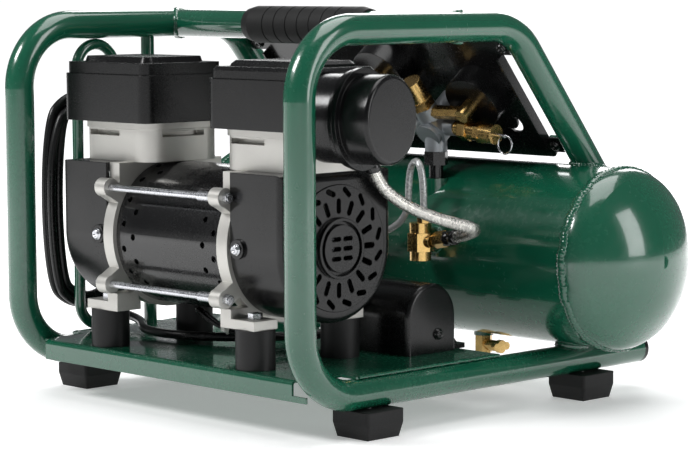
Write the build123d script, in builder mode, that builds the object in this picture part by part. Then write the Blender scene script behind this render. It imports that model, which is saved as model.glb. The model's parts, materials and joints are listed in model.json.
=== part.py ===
"""Twin-cylinder roll-cage air compressor for airbrush work, as separate named sub-parts.

Millimetres. +X runs along the motor and the tank, +Y runs from the motor back to the tank,
+Z is up. The origin is at floor level, in the middle of the four feet.
"""

from build123d import *
import os
from math import atan2, cos, degrees, radians, sin, sqrt, tan

os.makedirs("parts", exist_ok=True)

# ---- driving dimensions -------------------------------------------------------------
# roll cage
TUBE_R = 12.7
TUBE_WALL = 1.6
HALF_WIDTH = 180.0
RAIL_Z = 35.5
TOP_Z = 327.0
FRONT_Y = -206.0
REAR_Y = 206.0
BEND_R = 55.0
VERTEX_Y = 41.0
HANDLE_Y = -24.0
SLOPE_Y, SLOPE_Z = 0.632, 0.775
FOOT_Y = 132.0

# tank
TANK_R = 78.5
TANK_WALL = 2.5
TANK_HALF = 231.0
DOME = 48.0
KNUCKLE = 27.0
TANK_Y = 123.0
TANK_Z = RAIL_Z + TUBE_R + TANK_R + 0.2

# base plate
SHEET = 2.0
PLATE_TOP = RAIL_Z + TUBE_R + SHEET
PLATE_FRONT = -197.0
PLATE_REAR = 22.0
LIP_Z = 33.0
LIP_HALF = 160.0

# motor: axis along X
AXIS_Y = -128.0
AXIS_Z = 149.0
SHELL_R = 62.0
BRACKET_IN = 67.0
BRACKET_OUT = 80.0
ROD_DY, ROD_DZ = 67.0, 41.5
MOUNT_X, MOUNT_DY = 94.0, 48.0
ISO_R, ISO_H = 16.5, 33.0
PAD_TOP = PLATE_TOP + ISO_H + 8.0
CASE_OUT = 142.0
CASE_TOP = 211.0
SHAFT_R = 7.5
CRANK_X = 94.0
THROW = 6.0
BORE_R = 27.0

# heads
BLOCK_X, BLOCK_Y = 96.0, 84.0
BLOCK_TOP = 245.0
COVER_X0, COVER_X1 = 38.6, 153.0
COVER_Y0, COVER_Y1 = -180.0, -88.0
COVER_TOP = 286.0
LID_TOP = 301.0
FILTER_TILT = 11.0
FILTER_START = (150.0, -147.0, 256.0)

# control panel, drawn in the plane of the two diagonal tubes: local X across, local Y down
# the slope, local Z out of the back of the machine
PANEL = Plane(origin=(0, VERTEX_Y, TOP_Z), x_dir=(1, 0, 0), z_dir=(0, SLOPE_Z, SLOPE_Y))
PANEL_X = 150.0
PANEL_S0, PANEL_S1 = 12.0, 150.0
GAUGE_R = 27.0
GAUGE_BACK = -22.0
GAUGES = ((106.0, 72.0), (10.0, 42.0))
REG = (61.0, 90.0)
COUPLER = (10.0, 90.0)
ROCKER = (-60.0, 70.0)
DEPTH = -33.5

# plumbing
CHECK = (84.0, 28.0, 139.0)
HOSE_R = 5.2
CORD_R = 4.0

SIDES = (1, -1)


def write(piece, node):
    """Label a finished piece and export it under its node name."""
    piece.part.label = node
    export_step(piece.part, f"parts/{node}.step")


def across(x):
    """A sketch plane square to X, on the motor axis: local X is +Y and local Y is +Z."""
    return Plane(origin=(x, AXIS_Y, AXIS_Z), x_dir=(0, 1, 0), z_dir=(1, 0, 0))


def route(points):
    """Straight runs joined by tangent arcs, each arc sized from the shorter run beside it."""
    points = [Vector(*p) for p in points]
    radii = []
    for before, here, after in zip(points, points[1:], points[2:]):
        run_in, run_out = here - before, after - here
        turn = radians(run_in.get_angle(run_out))
        radii.append(0.45 * min(run_in.length, run_out.length) / tan(turn / 2))
    lines = []
    start = points[0]
    for i, radius in enumerate(radii):
        here = points[i + 1]
        run_in = (here - points[i]).normalized()
        run_out = (points[i + 2] - here).normalized()
        turn = radians(run_in.get_angle(run_out))
        cut = radius * tan(turn / 2)
        into, out = here - run_in * cut, here + run_out * cut
        lines.append(Edge.make_line(start, into))
        lines.append(Edge.make_tangent_arc(into, run_in, out))
        start = out
    lines.append(Edge.make_line(start, points[-1]))
    print("bend radii", [round(r, 1) for r in radii])
    return Wire(lines)


def pipe(points, radius):
    """A round tube or cord along a route."""
    path = route(points)
    with BuildPart() as tube:
        with BuildSketch(Plane(origin=path @ 0, z_dir=path % 0)):
            Circle(radius)
        sweep(path=path)
    return tube


# ---- roll cage ----------------------------------------------------------------------
TAB_S = (24.0, 136.0)


def side_frame(x, node):
    side = 1 if x > 0 else -1
    rear = (REAR_Y, RAIL_Z)
    foot = (VERTEX_Y + SLOPE_Y * 182, TOP_Z - SLOPE_Z * 182)
    corners = (rear, (FRONT_Y, RAIL_Z), (FRONT_Y, TOP_Z), (VERTEX_Y, TOP_Z), foot)
    with BuildPart() as hoop:
        with BuildLine(Plane.YZ.offset(x)) as path:
            FilletPolyline(*corners, radius=BEND_R)
        with BuildSketch(Plane(origin=path.line @ 0, z_dir=path.line % 0)):
            Circle(TUBE_R)
            Circle(TUBE_R - TUBE_WALL, mode=Mode.SUBTRACT)
        sweep()
        with BuildSketch(PANEL.offset(1.1)):
            with Locations(*[(side * (PANEL_X + 9), s) for s in TAB_S]):
                Rectangle(20, 15)
            with Locations(*[(side * (PANEL_X + 4), s) for s in TAB_S]):
                Circle(2.1, mode=Mode.SUBTRACT)
        extrude(amount=3)
        with Locations((x, TANK_Y, TANK_Z)):
            Cylinder(TANK_R, 60, rotation=(0, 90, 0), mode=Mode.SUBTRACT)
        with Locations(*[(x, y, RAIL_Z - TUBE_R) for y in (-FOOT_Y, FOOT_Y)]):
            Cylinder(3.1, 8, mode=Mode.SUBTRACT)
    write(hoop, node)


side_frame(HALF_WIDTH, "side_frame_near")
side_frame(-HALF_WIDTH, "side_frame_far")

with BuildPart() as rail_plugs:
    for side in SIDES:
        with BuildSketch(Plane(origin=(side * HALF_WIDTH, REAR_Y, RAIL_Z), z_dir=(0, 1, 0))):
            Circle(TUBE_R)
        extrude(amount=5.2)
        with BuildSketch(Plane(origin=(side * HALF_WIDTH, REAR_Y, RAIL_Z), z_dir=(0, -1, 0))):
            Circle(TUBE_R - TUBE_WALL)
        extrude(amount=12)
    fillet(rail_plugs.faces().sort_by(Axis.Y)[-2:].edges(), 1.2)
write(rail_plugs, "rail_plugs")

with BuildPart() as handle_tube:
    with BuildSketch(Plane(origin=(-HALF_WIDTH, HANDLE_Y, TOP_Z), z_dir=(1, 0, 0))):
        Circle(TUBE_R)
        Circle(TUBE_R - TUBE_WALL, mode=Mode.SUBTRACT)
    extrude(amount=2 * HALF_WIDTH)
    with Locations(*[(side * HALF_WIDTH, HANDLE_Y, TOP_Z) for side in SIDES]):
        Cylinder(TUBE_R, 60, rotation=(90, 0, 0), mode=Mode.SUBTRACT)
write(handle_tube, "handle_tube")

GRIP_HALF, GRIP_R = 75.0, 16.5
with BuildPart() as handle_grip:
    with BuildSketch(Plane(origin=(0, HANDLE_Y, TOP_Z), x_dir=(1, 0, 0), z_dir=(0, -1, 0))):
        with BuildLine():
            Polyline(
                (-GRIP_HALF, TUBE_R),
                (-GRIP_HALF, GRIP_R - 2),
                (-GRIP_HALF + 9, GRIP_R),
                (GRIP_HALF - 9, GRIP_R),
                (GRIP_HALF, GRIP_R - 2),
                (GRIP_HALF, TUBE_R),
                close=True,
            )
        make_face()
        with Locations(*[(15 * k, GRIP_R) for k in (-3, -2, -1, 0, 1, 2, 3)]):
            Rectangle(2.0, 1.2, mode=Mode.SUBTRACT)
    revolve(axis=Axis((0, HANDLE_Y, TOP_Z), (1, 0, 0)))
write(handle_grip, "handle_grip")

GUARD_R, GUARD_Y, GUARD_HALF = 5.0, -121.0, 21.0
BAR_Y, BAR_R = -60.0, 6.0
GUARD_LOW = PLATE_TOP + GUARD_R
GUARD_HIGH = TOP_Z - TUBE_R - GUARD_R
with BuildPart() as cord_guard:
    low, high = GUARD_LOW + GUARD_HALF, GUARD_HIGH - GUARD_HALF
    for y in (GUARD_Y - GUARD_HALF, GUARD_Y + GUARD_HALF):
        with BuildSketch(Plane((-HALF_WIDTH, y, low))):
            Circle(GUARD_R)
        extrude(amount=high - low)
    for y, z in ((GUARD_Y + GUARD_HALF, high), (GUARD_Y - GUARD_HALF, low)):
        with BuildSketch(Plane((-HALF_WIDTH, y, z))):
            Circle(GUARD_R)
        revolve(axis=Axis((-HALF_WIDTH, GUARD_Y, z), (1, 0, 0)), revolution_arc=180)
    with BuildSketch(Plane((-HALF_WIDTH, BAR_Y, PLATE_TOP))):
        Circle(BAR_R)
    extrude(amount=TOP_Z - PLATE_TOP)
    with Locations((-HALF_WIDTH, BAR_Y, TOP_Z)):
        Cylinder(TUBE_R, 60, rotation=(90, 0, 0), mode=Mode.SUBTRACT)
write(cord_guard, "cord_guard")

with BuildPart() as base_plate:
    inside = HALF_WIDTH - TUBE_R - 0.6
    with BuildSketch(Plane.XY.offset(PLATE_TOP - SHEET)):
        with BuildLine():
            FilletPolyline(
                (-inside, PLATE_FRONT + 4),
                (inside, PLATE_FRONT + 4),
                (inside, FRONT_Y + BEND_R + 2),
                (HALF_WIDTH + 4, FRONT_Y + BEND_R + 2),
                (HALF_WIDTH + 4, PLATE_REAR),
                (-HALF_WIDTH - 4, PLATE_REAR),
                (-HALF_WIDTH - 4, FRONT_Y + BEND_R + 2),
                (-inside, FRONT_Y + BEND_R + 2),
                radius=1.0,
                close=True,
            )
        make_face()
    extrude(amount=SHEET)
    with BuildSketch(Plane.YZ.offset(-LIP_HALF)):
        with BuildLine():
            l1 = Line((PLATE_FRONT + 6, PLATE_TOP), (PLATE_FRONT + 4, PLATE_TOP))
            RadiusArc(l1 @ 1, (PLATE_FRONT, PLATE_TOP - 4), -4)
            Polyline(
                (PLATE_FRONT, PLATE_TOP - 4),
                (PLATE_FRONT, LIP_Z),
                (PLATE_FRONT + SHEET, LIP_Z),
                (PLATE_FRONT + SHEET, PLATE_TOP - 4),
            )
            RadiusArc((PLATE_FRONT + SHEET, PLATE_TOP - 4), (PLATE_FRONT + 4, PLATE_TOP - SHEET), 2)
            Polyline(
                (PLATE_FRONT + 4, PLATE_TOP - SHEET),
                (PLATE_FRONT + 6, PLATE_TOP - SHEET),
                (PLATE_FRONT + 6, PLATE_TOP),
            )
        make_face()
    extrude(amount=2 * LIP_HALF)
    with BuildSketch(Plane(origin=(LIP_HALF, PLATE_FRONT, LIP_Z), x_dir=(1, 0, 0), z_dir=(0, -1, 0))):
        Rectangle(16, 5, align=(Align.MIN, Align.MIN))
    extrude(amount=-SHEET)
    with Locations(*[
        (sx * MOUNT_X, AXIS_Y + sy * MOUNT_DY, PLATE_TOP - SHEET / 2) for sx in SIDES for sy in SIDES
    ]):
        Cylinder(3.3, 3 * SHEET, mode=Mode.SUBTRACT)
write(base_plate, "base_plate")

FOOT_H = RAIL_Z - TUBE_R
with BuildPart() as rubber_feet:
    for x in (-HALF_WIDTH, HALF_WIDTH):
        for y in (-FOOT_Y, FOOT_Y):
            with BuildSketch(Plane(origin=(x, y, 12))):
                RectangleRounded(42, 42, 3)
            extrude(amount=FOOT_H - 12)
            with BuildSketch(Plane(origin=(x, y, 12))):
                RectangleRounded(42, 42, 3)
            extrude(amount=-12, taper=16)
            with Locations((x, y, 0)):
                Cylinder(7, 16, mode=Mode.SUBTRACT)
                Cylinder(3.1, 60, mode=Mode.SUBTRACT)
write(rubber_feet, "rubber_feet")

# ---- air tank -----------------------------------------------------------------------
def tank_section(inset):
    """The half outline of the tank, with torispherical ends, offset inwards by inset."""
    crown_r = ((TANK_R - KNUCKLE) ** 2 + DOME**2 - KNUCKLE**2) / (2 * (DOME - KNUCKLE))
    crown_x = TANK_HALF + DOME - crown_r
    knuckle_z = TANK_R - KNUCKLE
    turn = degrees(atan2(knuckle_z, crown_r - DOME))
    radius = TANK_R - inset
    tip = TANK_HALF + DOME - inset
    with BuildSketch(Plane(origin=(0, TANK_Y, TANK_Z), x_dir=(1, 0, 0), z_dir=(0, -1, 0))) as section:
        with BuildLine():
            CenterArc((crown_x, 0), crown_r - inset, 0, turn)
            CenterArc((TANK_HALF, knuckle_z), KNUCKLE - inset, turn, 90 - turn)
            Line((TANK_HALF, radius), (-TANK_HALF, radius))
            CenterArc((-TANK_HALF, knuckle_z), KNUCKLE - inset, 90, 90 - turn)
            CenterArc((-crown_x, 0), crown_r - inset, 180 - turn, turn)
            Line((-tip, 0), (tip, 0))
        make_face()
    return section.sketch


DRAIN_X = 72.0
RISER = (61.0, 71.9)
RISER_FOOT = TANK_Z + sqrt(TANK_R**2 - (TANK_Y - RISER[1]) ** 2) - 6
with BuildPart() as air_tank:
    revolve(tank_section(0), axis=Axis((0, TANK_Y, TANK_Z), (1, 0, 0)))
    with Locations((CHECK[0], TANK_Y - TANK_R + 4, CHECK[2])):
        Cylinder(11, 12, rotation=(90, 0, 0))
    with Locations((RISER[0], RISER[1], RISER_FOOT + 2)):
        Cylinder(11, 16)
    with Locations((DRAIN_X, TANK_Y, TANK_Z - TANK_R)):
        Cylinder(9, 6)
    revolve(tank_section(TANK_WALL), axis=Axis((0, TANK_Y, TANK_Z), (1, 0, 0)), mode=Mode.SUBTRACT)
    with Locations((CHECK[0], TANK_Y - TANK_R, CHECK[2])):
        Cylinder(6.0, 30, rotation=(90, 0, 0), mode=Mode.SUBTRACT)
    with Locations((RISER[0], RISER[1], RISER_FOOT + 4)):
        Cylinder(6.5, 24, mode=Mode.SUBTRACT)
    with Locations((DRAIN_X, TANK_Y, TANK_Z - TANK_R)):
        Cylinder(4.5, 16, mode=Mode.SUBTRACT)
write(air_tank, "air_tank")

# ---- motor mounts -------------------------------------------------------------------
MOUNTS = [(sx * MOUNT_X, AXIS_Y + sy * MOUNT_DY) for sx in SIDES for sy in SIDES]
with BuildPart() as isolators:
    with Locations(*[(x, y, PLATE_TOP + ISO_H / 2) for x, y in MOUNTS]):
        Cylinder(ISO_R, ISO_H)
        Cylinder(3.2, ISO_H, mode=Mode.SUBTRACT)
write(isolators, "isolators")

with BuildPart() as mounting_bolts:
    for x in (-HALF_WIDTH, HALF_WIDTH):
        for y in (-FOOT_Y, FOOT_Y):
            with Locations((x, y, 6)):
                Cylinder(6, 4)
            with Locations((x, y, 17)):
                Cylinder(3, 22)
    for x, y in MOUNTS:
        with Locations((x, y, (PAD_TOP + PLATE_TOP) / 2 - 2)):
            Cylinder(3.0, PAD_TOP - PLATE_TOP + 10)
        with BuildSketch(Plane(origin=(x, y, PAD_TOP))):
            RegularPolygon(6.2, 6)
        extrude(amount=5)
        with BuildSketch(Plane(origin=(x, y, PLATE_TOP - SHEET))):
            RegularPolygon(6.2, 6)
        extrude(amount=-5)
write(mounting_bolts, "mounting_bolts")


# ---- motor --------------------------------------------------------------------------
with BuildPart() as stator_shell:
    with BuildSketch(across(-BRACKET_IN)):
        Circle(SHELL_R)
        Circle(SHELL_R - 2, mode=Mode.SUBTRACT)
    extrude(amount=2 * BRACKET_IN)
    for row, x in enumerate((9.0, 22.0)):
        for side in SIDES:
            for k in range(9):
                turn = 20 * k + 10 * row
                spot = Location((side * (BRACKET_IN - x), AXIS_Y, AXIS_Z), (turn, 0, 0))
                with Locations(spot):
                    Cylinder(2.8, 2 * SHELL_R + 4, mode=Mode.SUBTRACT)
write(stator_shell, "stator_shell")

with BuildPart() as stator_core:
    with BuildSketch(across(-32)):
        Circle(SHELL_R - 2)
        Circle(31.0, mode=Mode.SUBTRACT)
        with PolarLocations(38, 24):
            Rectangle(12, 4, mode=Mode.SUBTRACT)
    extrude(amount=64)
    for side in SIDES:
        with BuildSketch(across(side * 32)):
            Circle(54)
            Circle(33, mode=Mode.SUBTRACT)
        extrude(amount=side * 18)
write(stator_core, "stator_core")

EAR_R = 8.0
EARS = [(sy * ROD_DY, sz * ROD_DZ) for sy in SIDES for sz in SIDES]


def end_bracket(side):
    inner, outer = side * BRACKET_IN, side * BRACKET_OUT
    depth = side * (BRACKET_OUT - BRACKET_IN)
    with BuildPart() as bracket:
        with BuildSketch(across(inner)):
            Circle(SHELL_R + 4)
            with Locations((0, 31)):
                Rectangle(2 * SHELL_R - 8, 62)
            with Locations(*EARS):
                Circle(EAR_R)
            for ear_y, ear_z in EARS:
                turn = degrees(atan2(ear_z, ear_y))
                with Locations(Location((ear_y * 0.8, ear_z * 0.8), turn)):
                    Rectangle(36, 15)
            for sy in SIDES:
                with Locations((sy * (MOUNT_DY + 2), (PAD_TOP - AXIS_Z - 50) / 2)):
                    Rectangle(24, abs(PAD_TOP - AXIS_Z + 50))
            Circle(SHELL_R - 2, mode=Mode.SUBTRACT)
        extrude(amount=depth)
        with BuildSketch(across(outer)):
            Circle(SHELL_R)
            with PolarLocations(38, 6, start_angle=30):
                RectangleRounded(26, 20, 5, mode=Mode.SUBTRACT)
        extrude(amount=-side * 4)
        with BuildSketch(across(side * (BRACKET_IN + 3))):
            Circle(22)
        extrude(amount=side * 11)
        for sy in SIDES:
            pad = (side * (BRACKET_IN + 20.5), AXIS_Y + sy * (MOUNT_DY + 1), PAD_TOP - 4)
            with Locations(pad):
                Box(41, 26, 8)
        with Locations((outer, AXIS_Y, AXIS_Z)):
            Cylinder(17.5, 18, rotation=(0, 90, 0), mode=Mode.SUBTRACT)
            Cylinder(9, 60, rotation=(0, 90, 0), mode=Mode.SUBTRACT)
        with Locations((outer, AXIS_Y, CASE_TOP + 10)):
            Box(60, 160, 20, mode=Mode.SUBTRACT)
        with Locations(*[(side * (BRACKET_IN + 6), AXIS_Y + y, AXIS_Z + z) for y, z in EARS]):
            Cylinder(3.1, 40, rotation=(0, 90, 0), mode=Mode.SUBTRACT)
        with Locations(*[(side * MOUNT_X, AXIS_Y + sy * MOUNT_DY, PAD_TOP) for sy in SIDES]):
            Cylinder(3.2, 30, mode=Mode.SUBTRACT)
    return bracket.part


with BuildPart() as end_brackets:
    add([end_bracket(side) for side in SIDES])
write(end_brackets, "end_brackets")

with BuildPart() as shaft_bearings:
    for side in SIDES:
        with BuildSketch(across(side * (BRACKET_OUT - 9))):
            Circle(17.5)
            Circle(SHAFT_R + 0.05, mode=Mode.SUBTRACT)
        extrude(amount=side * 9)
write(shaft_bearings, "shaft_bearings")

with BuildPart() as tie_rods:
    for y, z in EARS:
        with Locations((0, AXIS_Y + y, AXIS_Z + z)):
            Cylinder(3.0, 2 * BRACKET_OUT + 12, rotation=(0, 90, 0))
        for side in SIDES:
            spot = Plane(origin=(side * BRACKET_OUT, AXIS_Y + y, AXIS_Z + z), z_dir=(side, 0, 0))
            with BuildSketch(spot):
                RegularPolygon(4.6, 6)
            extrude(amount=5)
        sleeve = Plane(origin=(BRACKET_IN, AXIS_Y + y, AXIS_Z + z), z_dir=(-1, 0, 0))
        with BuildSketch(sleeve):
            Circle(4.2)
        extrude(amount=19)
write(tie_rods, "tie_rods")

with BuildPart() as motor_shaft:
    with Locations((0, AXIS_Y, AXIS_Z)):
        Cylinder(SHAFT_R, 268, rotation=(0, 90, 0))
write(motor_shaft, "motor_shaft")

with BuildPart() as rotor_core:
    with BuildSketch(across(-30)):
        Circle(30.2)
        Circle(SHAFT_R, mode=Mode.SUBTRACT)
    extrude(amount=60)
    for side in SIDES:
        with BuildSketch(across(side * 30)):
            Circle(28)
            Circle(20, mode=Mode.SUBTRACT)
        extrude(amount=side * 8)
write(rotor_core, "rotor_core")

with BuildPart() as cooling_fans:
    for side in SIDES:
        with BuildSketch(across(side * 116)):
            Circle(14)
            Circle(SHAFT_R, mode=Mode.SUBTRACT)
        extrude(amount=side * 16)
        for k in range(7):
            turn = 360 / 7 * k
            turned = across(side * 124).location * Location((0, 0, 0), (0, 0, turn))
            with Locations(turned * Location((28, 0, 0), (35, 0, 0))):
                Box(32, 17, 2)
write(cooling_fans, "cooling_fans")

with BuildPart() as eccentrics:
    for side in SIDES:
        with BuildSketch(across(side * (CRANK_X - 5))):
            with Locations((0, side * THROW)):
                Circle(12)
            Circle(SHAFT_R, mode=Mode.SUBTRACT)
        extrude(amount=side * 10)
        with BuildSketch(across(side * (CRANK_X + 6))):
            with Locations((0, -side * 14)):
                Rectangle(44, 28)
            Circle(12)
            Circle(SHAFT_R, mode=Mode.SUBTRACT)
        extrude(amount=side * 8)
write(eccentrics, "eccentrics")


# ---- crankcases and fan grilles -----------------------------------------------------
def case_profile(half, top):
    Circle(half)
    with Locations((0, top / 2)):
        Rectangle(2 * half, top)


def crankcase(side):
    top = CASE_TOP - AXIS_Z
    with BuildPart() as case:
        with BuildSketch(across(side * BRACKET_OUT)):
            case_profile(62, top)
        extrude(amount=side * (CASE_OUT - BRACKET_OUT))
        outer_face = case.faces().sort_by(Axis.X)[-1 if side > 0 else 0]
        fillet(outer_face.edges(), 7)
        with BuildSketch(across(side * BRACKET_OUT)):
            case_profile(59, top - 3)
        extrude(amount=side * (CASE_OUT - BRACKET_OUT - 3.5), mode=Mode.SUBTRACT)
        with BuildSketch(across(side * CASE_OUT)):
            Circle(52)
        extrude(amount=-side * 10, mode=Mode.SUBTRACT)
        with Locations((side * CRANK_X, AXIS_Y, CASE_TOP)):
            Cylinder(BORE_R + 3, 30, mode=Mode.SUBTRACT)
        with Locations((side * (BRACKET_OUT + 10), AXIS_Y - 62, AXIS_Z)):
            Cylinder(8, 5, rotation=(90, 0, 0))
            Cylinder(2.1, 16, rotation=(90, 0, 0), mode=Mode.SUBTRACT)
    return case.part


with BuildPart() as crankcases:
    add([crankcase(side) for side in SIDES])
write(crankcases, "crankcases")

with BuildPart() as fan_grilles:
    for side in SIDES:
        with BuildSketch(across(side * (CASE_OUT - 3))):
            Circle(52)
            with PolarLocations(34.5, 16):
                SlotOverall(12.5, 4.8, mode=Mode.SUBTRACT)
            with PolarLocations(46.3, 16, start_angle=11):
                SlotOverall(11, 4.4, rotation=58, mode=Mode.SUBTRACT)
        extrude(amount=side * 4)
        with BuildSketch(across(side * (CASE_OUT + 1))):
            Circle(25)
            Circle(22.5, mode=Mode.SUBTRACT)
            Circle(19.5)
        extrude(amount=side * 4)
        with BuildSketch(across(side * (CASE_OUT - 4))):
            with GridLocations(13, 8, 2, 3):
                SlotOverall(10.5, 3.6)
        extrude(amount=side * 10, mode=Mode.SUBTRACT)
write(fan_grilles, "fan_grilles")

SCREWS = [
    (Vector(side * (BRACKET_OUT + 10), AXIS_Y - 62 - 2.5, AXIS_Z), Vector(0, -1, 0)) for side in SIDES
]

# ---- cylinders, heads and covers ----------------------------------------------------
def block_plane(side, z):
    return Plane(origin=(side * 93.0, AXIS_Y, z))


with BuildPart() as cylinder_blocks:
    for side in SIDES:
        with BuildSketch(block_plane(side, CASE_TOP)):
            RectangleRounded(BLOCK_X, BLOCK_Y, 20)
        extrude(amount=BLOCK_TOP - CASE_TOP - 6)
        with BuildSketch(block_plane(side, BLOCK_TOP - 6)):
            RectangleRounded(BLOCK_X + 3, BLOCK_Y + 3, 21)
        extrude(amount=6)
        with Locations((side * CRANK_X, AXIS_Y, (CASE_TOP + BLOCK_TOP) / 2)):
            Cylinder(BORE_R, BLOCK_TOP - CASE_TOP + 40, mode=Mode.SUBTRACT)
        slot_z = BLOCK_TOP - 10
        with Locations((side * 93.0 - 14, AXIS_Y - BLOCK_Y / 2, slot_z)):
            Box(42, 20, 4.5, mode=Mode.SUBTRACT)
        with Locations((side * 93.0 + BLOCK_X / 2, AXIS_Y - 4, slot_z)):
            Box(20, 46, 4.5, mode=Mode.SUBTRACT)
write(cylinder_blocks, "cylinder_blocks")

with BuildPart() as cylinder_heads:
    for side in SIDES:
        with BuildSketch(block_plane(side, BLOCK_TOP)):
            RectangleRounded(84, 72, 14)
        extrude(amount=6)
        with BuildSketch(block_plane(side, BLOCK_TOP + 6)):
            RectangleRounded(74, 62, 12)
        extrude(amount=16)
        with Locations(*[(side * 93.0 + 12 * k, AXIS_Y, BLOCK_TOP + 22) for k in (-2, -1, 0, 1, 2)]):
            Box(5, 70, 12, mode=Mode.SUBTRACT)
write(cylinder_heads, "cylinder_heads")


def piston(side, node):
    x = side * CRANK_X
    with BuildPart() as rod:
        with Locations((x, AXIS_Y, AXIS_Z + 76)):
            Cylinder(BORE_R - 0.08, 8)
        with BuildSketch(across(x - 4)):
            Circle(32)
            with Locations((0, 50)):
                Rectangle(12, 46)
            Circle(25.5, mode=Mode.SUBTRACT)
        extrude(amount=8)
    write(rod, node)


piston(1, "piston_near")
piston(-1, "piston_far")

COVER_MID_Y = (COVER_Y0 + COVER_Y1) / 2
COVER_DX, COVER_DY = COVER_X1 - COVER_X0, COVER_Y1 - COVER_Y0
COVER_MID_X = (COVER_X0 + COVER_X1) / 2
with BuildPart() as head_covers:
    for side in SIDES:
        base = Plane(origin=(side * COVER_MID_X, COVER_MID_Y, BLOCK_TOP))
        with BuildSketch(base):
            RectangleRounded(COVER_DX, COVER_DY, 10)
        extrude(amount=COVER_TOP - BLOCK_TOP)
        with BuildSketch(base):
            RectangleRounded(COVER_DX - 5, COVER_DY - 5, 8)
        extrude(amount=COVER_TOP - BLOCK_TOP + 1, mode=Mode.SUBTRACT)
write(head_covers, "head_covers")

with BuildPart() as cover_lids:
    for side in SIDES:
        base = Plane(origin=(side * COVER_MID_X, COVER_MID_Y, COVER_TOP))
        with BuildSketch(base):
            RectangleRounded(COVER_DX - 4, COVER_DY - 4, 9)
        extrude(amount=10)
        chamfer(cover_lids.faces().sort_by(Axis.Z)[-1].edges(), 3)
        with BuildSketch(base.offset(10)):
            RectangleRounded(COVER_DX - 26, COVER_DY - 24, 8)
        extrude(amount=LID_TOP - COVER_TOP - 10, taper=20)
        with BuildSketch(base):
            RectangleRounded(COVER_DX - 9, COVER_DY - 9, 7)
        extrude(amount=8, mode=Mode.SUBTRACT)
write(cover_lids, "cover_lids")

FILTER_AXIS = Vector(cos(radians(FILTER_TILT)), sin(radians(FILTER_TILT)), 0)


def filter_plane(distance):
    return Plane(origin=Vector(*FILTER_START) + FILTER_AXIS * distance, z_dir=FILTER_AXIS)


with BuildPart() as filter_base:
    with BuildSketch(filter_plane(0)):
        Circle(36)
    extrude(amount=32)
    with BuildSketch(filter_plane(27)):
        Circle(39.5)
    extrude(amount=3.5)
    with BuildSketch(filter_plane(8)):
        Circle(33)
    extrude(amount=40, mode=Mode.SUBTRACT)
    with Locations(((COVER_X1 - 20), COVER_MID_Y, BLOCK_TOP)):
        Box(40, 200, 200, mode=Mode.SUBTRACT)
write(filter_base, "filter_base")

with BuildPart() as filter_cap:
    with BuildSketch(filter_plane(32)):
        Circle(41)
    extrude(amount=4)
    with BuildSketch(filter_plane(36)):
        Circle(36)
    extrude(amount=27)
    fillet(filter_cap.faces().sort_by(Axis(FILTER_START, tuple(FILTER_AXIS)))[-1].edges(), 3.5)
    with BuildSketch(filter_plane(32)):
        Circle(33)
    extrude(amount=28, mode=Mode.SUBTRACT)
write(filter_cap, "filter_cap")

with BuildPart() as filter_element:
    with BuildSketch(filter_plane(12)):
        Circle(30)
        Circle(16, mode=Mode.SUBTRACT)
    extrude(amount=44)
write(filter_element, "filter_element")


# ---- control panel and its fittings -------------------------------------------------
def on_panel(spot, height):
    """A sketch plane parallel to the panel, centred on a point of it."""
    return Plane(origin=PANEL.from_local_coords((spot[0], spot[1], height)), x_dir=(1, 0, 0), z_dir=PANEL.z_dir)


PANEL_MID = (PANEL_S0 + PANEL_S1) / 2
TABS = [(side * (PANEL_X + 8), s) for side in SIDES for s in TAB_S]
with BuildPart() as control_panel:
    with BuildSketch(PANEL.offset(-1)):
        with Locations((0, PANEL_MID)):
            RectangleRounded(2 * PANEL_X, PANEL_S1 - PANEL_S0, 6)
        with Locations(*TABS):
            Rectangle(17.8, 16)
        with Locations(*GAUGES):
            Circle(GAUGE_R + 0.2, mode=Mode.SUBTRACT)
        with Locations(REG):
            Circle(5.6, mode=Mode.SUBTRACT)
        with Locations(COUPLER):
            Circle(7.6, mode=Mode.SUBTRACT)
        with Locations(ROCKER):
            Rectangle(20, 28, mode=Mode.SUBTRACT)
        with Locations((118, 112)):
            Circle(10, mode=Mode.SUBTRACT)
        with Locations((114.5, 109)):
            Circle(9.5)
        with Locations(*[(side * (PANEL_X + 4), s) for side in SIDES for s in TAB_S]):
            Circle(2.4, mode=Mode.SUBTRACT)
    extrude(amount=2)
    for side in SIDES:
        with BuildSketch(PANEL.offset(-1)):
            with Locations((side * (PANEL_X - 1), PANEL_MID)):
                Rectangle(2, PANEL_S1 - PANEL_S0 - 40)
        extrude(amount=-7)
write(control_panel, "control_panel")

SCREWS += [
    (PANEL.from_local_coords((side * (PANEL_X + 4), s, -1)), -PANEL.z_dir) for side in SIDES for s in TAB_S
]

with BuildPart() as gauge_cases:
    for spot in GAUGES:
        with BuildSketch(on_panel(spot, GAUGE_BACK)):
            Circle(GAUGE_R)
        extrude(amount=2 - GAUGE_BACK)
        with BuildSketch(on_panel(spot, 1)):
            Circle(GAUGE_R + 3)
        extrude(amount=9)
        with BuildSketch(on_panel(spot, 1)):
            Circle(GAUGE_R - 1)
        extrude(amount=9, mode=Mode.SUBTRACT)
        with Locations(on_panel(spot, 1).location):
            Cylinder(1.3, 6, mode=Mode.SUBTRACT)
write(gauge_cases, "gauge_cases")

with BuildPart() as gauge_lenses:
    for spot in GAUGES:
        with BuildSketch(on_panel(spot, 7)):
            Circle(GAUGE_R - 1)
        extrude(amount=1.6)
write(gauge_lenses, "gauge_lenses")


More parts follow.
